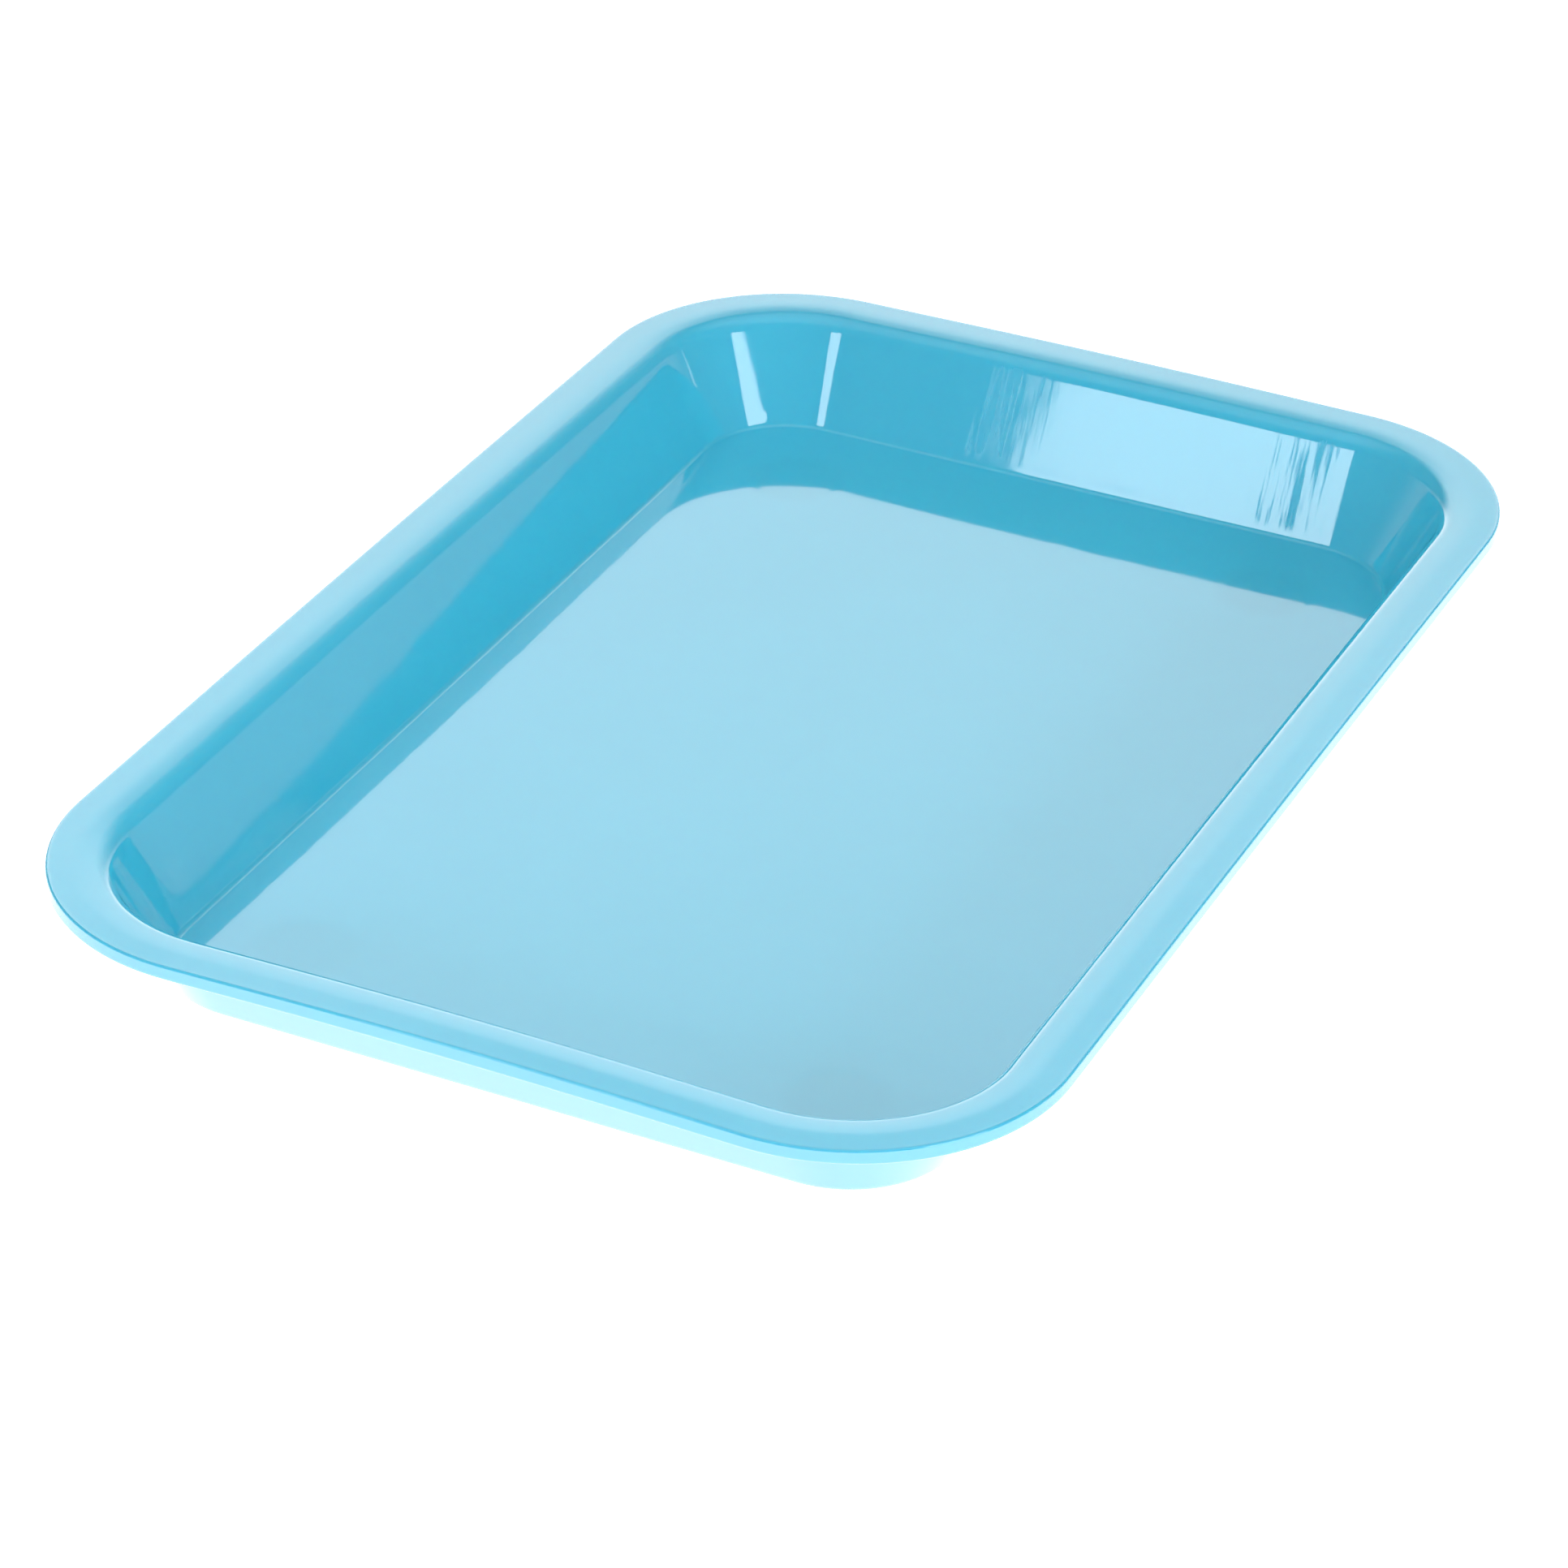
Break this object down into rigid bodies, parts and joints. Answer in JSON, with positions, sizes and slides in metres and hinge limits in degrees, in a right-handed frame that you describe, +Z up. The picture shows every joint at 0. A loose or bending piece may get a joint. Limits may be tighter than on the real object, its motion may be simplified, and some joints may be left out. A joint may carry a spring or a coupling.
{
  "type": "shallow rectangular tray",
  "caption": "Shallow rectangular moulded tray with rounded corners, steep straight walls, a broad rim with a turned-down edge and round anti-slip foot pads.",
  "frame": {"origin": "on the surface that the tray stands on, under the middle of the tray", "axes": "+X along the long sides, towards the back; +Y across the tray, towards the left side; +Z up, out of the tray's open side"},
  "size_m": [0.35, 0.232, 0.0301],
  "materials": {
    "tray_plastic": "high gloss, slightly translucent turquoise plastic",
    "foot_rubber": "matt soft rubber"
  },
  "bodies": {
    "root": {"tray_body": "tray_plastic", "foot_pad_front_left": "foot_rubber", "foot_pad_front_right": "foot_rubber", "foot_pad_back_left": "foot_rubber", "foot_pad_back_right": "foot_rubber"}
  },
  "joints": []
}
